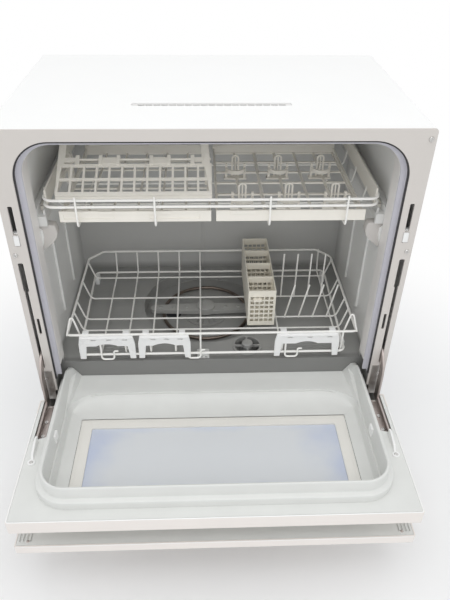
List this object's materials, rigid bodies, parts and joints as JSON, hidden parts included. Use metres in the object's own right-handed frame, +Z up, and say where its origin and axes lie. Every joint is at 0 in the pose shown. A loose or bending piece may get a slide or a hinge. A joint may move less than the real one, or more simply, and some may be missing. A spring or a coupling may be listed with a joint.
{
  "type": "countertop dishwasher",
  "caption": "Compact worktop dishwasher with two coupled fold-down doors, a moulded grey tub, two white wire racks that slide out, a cup shelf and a cutlery basket.",
  "frame": {"origin": "on the worktop, under the middle of the space that the dishwasher takes up with both doors open", "axes": "+X to the right of someone who faces the doors, +Y from the doors to the back, +Z up"},
  "size_m": [0.55, 0.581, 0.598],
  "materials": {
    "cover_plastic": "smooth moulded, bright white",
    "panel_paint": "powder-coated sheet steel, satin white",
    "frame_plastic": "moulded, fine spark-eroded texture, warm light grey",
    "base_plastic": "moulded, grey",
    "white_plastic": "moulded, white",
    "tub_plastic": "moulded, smooth mid grey",
    "gasket_rubber": "soft dark grey lip seal",
    "foot_rubber": "moulded rubber",
    "runner_plastic": "moulded, pale grey",
    "bracket_steel": "zinc-plated pressed steel",
    "screw_steel": "bright plated",
    "arm_steel": "plated pressed steel",
    "door_paint": "coated sheet, satin white",
    "liner_plastic": "moulded, pale grey",
    "window_plastic": "moulded, cream white",
    "pane_clear": "clear, pale blue tint",
    "pane_smoke": "tempered, smoke tint",
    "rack_nylon": "nylon-coated steel wire, warm white",
    "tray_plastic": "moulded, ivory",
    "clip_plastic": "moulded, bright white",
    "basket_plastic": "moulded, beige",
    "spray_plastic": "moulded, grey",
    "filter_plastic": "moulded, grey",
    "heater_steel": "stainless tube",
    "pump_plastic": "moulded, dark",
    "valve_plastic": "moulded, blue",
    "board_resin": "coated circuit board",
    "brass_thread": "turned brass",
    "button_plastic": "moulded, pale grey",
    "lens_plastic": "clear lens",
    "duct_plastic": "moulded, grey",
    "gland_rubber": "moulded rubber"
  },
  "bodies": {
    "cabinet": {"top_cover": "cover_plastic", "vent_grille": "runner_plastic", "side_panel_left": "panel_paint", "side_panel_right": "panel_paint", "back_panel": "panel_paint", "front_frame": "frame_plastic", "frame_screws": "screw_steel", "slot_tabs": "white_plastic", "base_pan": "base_plastic", "base_front": "white_plastic", "sill_cover": "base_plastic", "feet": "foot_rubber", "tub": "tub_plastic", "tub_gasket": "gasket_rubber", "well_cover": "filter_plastic", "float_cover": "runner_plastic", "runner_left": "runner_plastic", "runner_right": "runner_plastic", "hinge_bracket_left": "bracket_steel", "hinge_bracket_right": "bracket_steel", "hinge_pins": "screw_steel", "heater": "heater_steel", "wash_pump": "pump_plastic", "drain_pump": "pump_plastic", "drying_fan": "pump_plastic", "air_duct": "duct_plastic", "inlet_valve": "valve_plastic", "control_board": "board_resin", "inlet_nipple": "brass_thread", "drain_spigot": "duct_plastic", "cord_gland": "gland_rubber", "indicator_lenses": "lens_plastic"},
    "upper_door": {"upper_door_outer": "door_paint", "upper_door_liner": "liner_plastic", "window_frame": "window_plastic", "inner_pane": "pane_clear", "outer_pane": "pane_smoke", "hinge_arm_left": "arm_steel", "hinge_arm_right": "arm_steel", "door_hooks": "white_plastic", "door_screws": "screw_steel"},
    "lower_door": {"lower_door_outer": "door_paint", "lower_door_liner": "liner_plastic", "lower_door_ears": "arm_steel", "lower_door_screws": "screw_steel"},
    "upper_rack": {"upper_rack_frame": "rack_nylon", "cup_tray": "tray_plastic", "glass_tray": "tray_plastic"},
    "shelf": {"cup_shelf": "tray_plastic"},
    "lower_rack": {"lower_rack_frame": "rack_nylon", "rack_clips": "clip_plastic"},
    "basket": {"cutlery_basket": "basket_plastic"},
    "sprayer": {"spray_arm": "spray_plastic"},
    "strainer": {"residue_filter": "filter_plastic"},
    "start_key": {"start_button": "button_plastic"},
    "power_key": {"power_button": "button_plastic"},
    "course_key": {"course_button": "button_plastic"},
    "dry_key": {"dry_button": "button_plastic"}
  },
  "joints": [
    {"name": "upper_door_turn", "type": "hinge", "parent": "cabinet", "child": "upper_door", "pos_m": [0, 0.0435, 0.264], "axis": [1, 0, 0], "range_deg": [-90, 0]},
    {"name": "lower_door_turn", "type": "hinge", "parent": "cabinet", "child": "lower_door", "pos_m": [0, -0.0445, 0.118], "axis": [1, 0, 0], "range_deg": [-90, 0]},
    {"name": "upper_rack_slide", "type": "slide", "parent": "cabinet", "child": "upper_rack", "axis": [0, -1, 0], "range_m": [0, 0.2]},
    {"name": "lower_rack_slide", "type": "slide", "parent": "cabinet", "child": "lower_rack", "axis": [0, -1, 0], "range_m": [0, 0.25]},
    {"name": "basket_lift", "type": "slide", "parent": "lower_rack", "child": "basket", "axis": [0, 0, 1], "range_m": [0, 0.1]},
    {"name": "cup_shelf_fold", "type": "hinge", "parent": "upper_rack", "child": "shelf", "pos_m": [-0.108, 0.1185, 0.488], "axis": [-1, 0, 0], "range_deg": [0, 50]},
    {"name": "spray_arm_spin", "type": "hinge", "parent": "cabinet", "child": "sprayer", "pos_m": [-0.01, 0.1365, 0.19], "axis": [0, 0, 1], "continuous": true},
    {"name": "filter_lift", "type": "slide", "parent": "cabinet", "child": "strainer", "axis": [0, 0, 1], "range_m": [0, 0.06]},
    {"name": "start_press", "type": "slide", "parent": "cabinet", "child": "start_key", "axis": [0, 1, 0], "range_m": [0, 0.002], "stiffness_N_per_m": 400},
    {"name": "power_press", "type": "slide", "parent": "cabinet", "child": "power_key", "axis": [0, 1, 0], "range_m": [0, 0.002], "stiffness_N_per_m": 400},
    {"name": "course_press", "type": "slide", "parent": "cabinet", "child": "course_key", "axis": [0, 1, 0], "range_m": [0, 0.002], "stiffness_N_per_m": 400},
    {"name": "dry_press", "type": "slide", "parent": "cabinet", "child": "dry_key", "axis": [0, 1, 0], "range_m": [0, 0.002], "stiffness_N_per_m": 400}
  ],
  "couplings": [
    {"joint": "lower_door_turn", "follows": "upper_door_turn", "ratio": 1}
  ]
}
